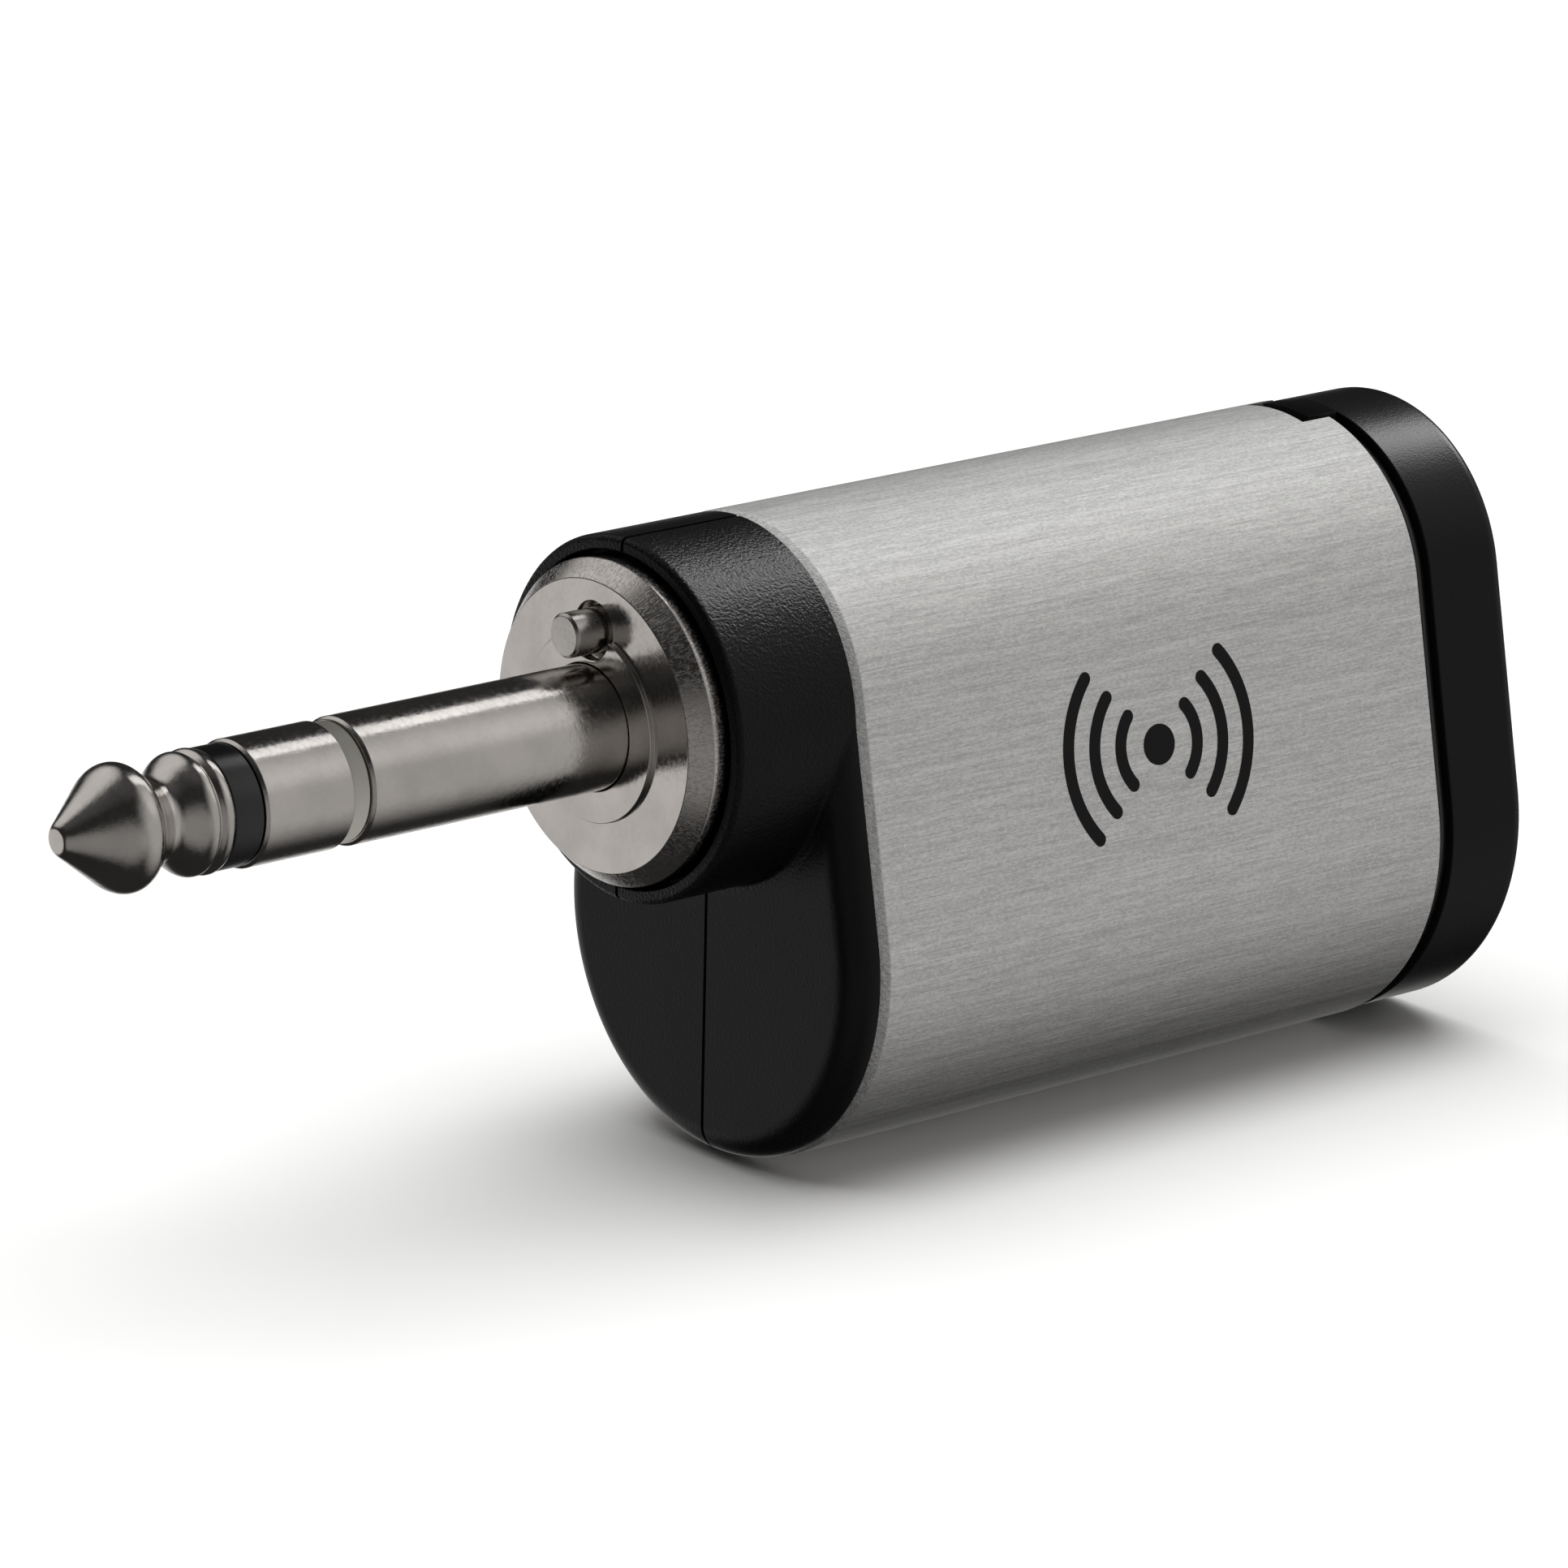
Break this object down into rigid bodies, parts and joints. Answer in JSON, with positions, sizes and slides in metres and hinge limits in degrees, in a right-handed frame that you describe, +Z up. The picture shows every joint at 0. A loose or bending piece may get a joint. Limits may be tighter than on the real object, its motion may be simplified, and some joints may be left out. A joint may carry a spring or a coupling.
{
  "type": "wireless guitar transmitter",
  "caption": "Plug-in wireless guitar transmitter: jack plug with sensing pin, split black front housing, brushed metal sleeve of egg section and black rear cap with status window.",
  "frame": {"origin": "centre of the shoulder plate's front face, on the jack plug's axis", "axes": "-X along the plug towards its tip, +Z up from the lower body towards the plug's side of the section, +Y to the transmitter's right"},
  "size_m": [0.0861, 0.0232, 0.0332],
  "materials": {
    "nickel_plate": "polished nickel plate with fine turning marks",
    "pin_steel": "satin nickel with turned end face",
    "black_insulator": "smooth black",
    "pale_insulator": "translucent off-white",
    "brushed_metal": "brushed along its length",
    "textured_black": "fine spark texture",
    "smooth_black": "semi-gloss",
    "smoked_window": "smoked, satin",
    "zinc_steel": "zinc plated",
    "spring_steel": "drawn wire",
    "tinned_brass": "tinned",
    "circuit_board": "green solder mask",
    "chip_epoxy": "moulded epoxy",
    "led_resin": "clear resin",
    "pouch_foil": "satin foil pouch",
    "foam_pad": "adhesive foam",
    "white_wire": "insulated lead",
    "red_wire": "insulated lead",
    "black_wire": "insulated lead"
  },
  "bodies": {
    "transmitter_body": {"plug_tip": "nickel_plate", "tip_insulator": "black_insulator", "ring_contact": "nickel_plate", "ring_insulator": "pale_insulator", "plug_sleeve": "nickel_plate", "shoulder_plate": "nickel_plate", "tip_lug": "tinned_brass", "ring_lug": "tinned_brass", "sleeve_lug": "tinned_brass", "pin_spring": "spring_steel", "pin_retainer": "zinc_steel", "retainer_screw_left": "zinc_steel", "retainer_screw_right": "zinc_steel", "sense_switch": "chip_epoxy", "front_housing_left": "textured_black", "front_housing_right": "textured_black", "housing_screw_1": "zinc_steel", "housing_screw_2": "zinc_steel", "metal_tube": "brushed_metal", "rear_frame": "smooth_black", "rear_cap": "textured_black", "status_window": "smoked_window", "inner_chassis": "smooth_black", "main_board": "circuit_board", "board_screw_1": "zinc_steel", "board_screw_2": "zinc_steel", "rf_shield": "zinc_steel", "controller_chip": "chip_epoxy", "charger_chip": "chip_epoxy", "crystal": "zinc_steel", "power_inductor": "chip_epoxy", "battery_connector": "pale_insulator", "status_led": "led_resin", "antenna": "tinned_brass", "battery": "pouch_foil", "battery_pad": "foam_pad", "protection_board": "circuit_board", "tip_lead": "white_wire", "ring_lead": "red_wire", "sleeve_lead": "black_wire", "battery_lead_positive": "red_wire", "battery_lead_negative": "black_wire"},
    "sensing_pin": {"sense_pin": "pin_steel"},
    "switch_button": {"switch_plunger": "pale_insulator"}
  },
  "joints": [
    {"name": "pin_press", "type": "slide", "parent": "transmitter_body", "child": "sensing_pin", "axis": [1, 0, 0], "range_m": [0, 0.0016], "stiffness_N_per_m": 400, "springref_m": -0.001, "deforming": ["pin_spring"]},
    {"name": "switch_press", "type": "slide", "parent": "transmitter_body", "child": "switch_button", "axis": [1, 0, 0], "range_m": [0, 0.0016]}
  ],
  "couplings": [
    {"joint": "switch_press", "follows": "pin_press", "ratio": 1}
  ]
}
